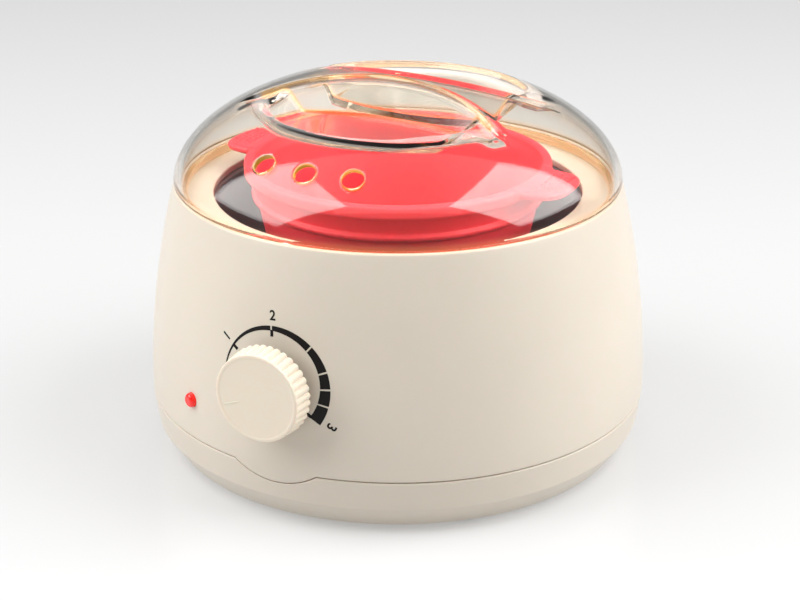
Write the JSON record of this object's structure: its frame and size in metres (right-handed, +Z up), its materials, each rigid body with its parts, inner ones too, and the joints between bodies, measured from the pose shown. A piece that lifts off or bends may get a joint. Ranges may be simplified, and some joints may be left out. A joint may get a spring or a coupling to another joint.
{
  "type": "wax warmer pot",
  "caption": "Round electric wax warmer with a lift-out soft bowl in a heated well, a clear domed lid with a finger grip, and a ribbed temperature knob.",
  "frame": {"origin": "centre of the base cover's flat underside, on the body's axis; the rubber feet reach 1.5 mm lower", "axes": "+Z up along the body's axis; the knob and the dial face -Y; +X is to the right of a person facing the knob"},
  "size_m": [0.18, 0.1913, 0.1341],
  "materials": {
    "ivory_plastic": "satin moulded",
    "ivory_knob": "fine matt moulded",
    "clear_plastic": "polished clear plastic, faintly amber",
    "coral_silicone": "satin silicone",
    "aluminium": "dull anodised",
    "steel": "plated",
    "brass": "bright",
    "ceramic": "unglazed ceramic",
    "mica": "mica sheet",
    "red_lens": "clear red, polished",
    "black_rubber": "matt",
    "wire_sleeve": "silicone rubber sleeve",
    "resistor": "lacquered",
    "grey_plastic": "moulded"
  },
  "bodies": {
    "housing": {"outer_housing": "ivory_plastic", "base_cover": "ivory_plastic", "heating_well": "aluminium", "heater_band": "mica", "heater_clamp_band": "steel", "clamp_bolt": "steel", "clamp_nut": "steel", "heat_shield": "steel", "thermostat_bracket": "steel", "thermostat_stack": "ceramic", "thermostat_blade_front": "brass", "thermostat_blade_rear": "brass", "thermostat_bushing": "brass", "bushing_nut": "steel", "indicator_lens": "red_lens", "indicator_holder": "grey_plastic", "indicator_resistor": "resistor", "thermal_fuse": "ceramic", "fuse_clip": "steel", "terminal_block": "grey_plastic", "wire_terminal_to_thermostat": "wire_sleeve", "wire_thermostat_to_fuse": "wire_sleeve", "wire_fuse_to_heater": "wire_sleeve", "wire_heater_to_terminal": "wire_sleeve", "wire_terminal_to_lamp": "wire_sleeve", "cord_grommet": "black_rubber", "foot_1": "black_rubber", "foot_2": "black_rubber", "foot_3": "black_rubber", "foot_4": "black_rubber", "base_screw_1": "steel", "base_screw_2": "steel", "base_screw_3": "steel", "base_screw_4": "steel", "well_screw_1": "steel", "well_screw_2": "steel", "well_screw_3": "steel"},
    "knob": {"knob": "ivory_knob", "knob_shaft": "steel"},
    "bowl": {"silicone_bowl": "coral_silicone"},
    "lid": {"lid": "clear_plastic"}
  },
  "joints": [
    {"name": "knob_turn", "type": "hinge", "parent": "housing", "child": "knob", "pos_m": [0, -0.09, 0.0489], "axis": [0, 1, 0], "range_deg": [0, 235]},
    {"name": "bowl_lift", "type": "slide", "parent": "housing", "child": "bowl", "axis": [0, 0, 1], "range_m": [0, 0.08]},
    {"name": "lid_lift", "type": "slide", "parent": "bowl", "child": "lid", "axis": [0, 0, 1], "range_m": [0, 0.1]}
  ]
}
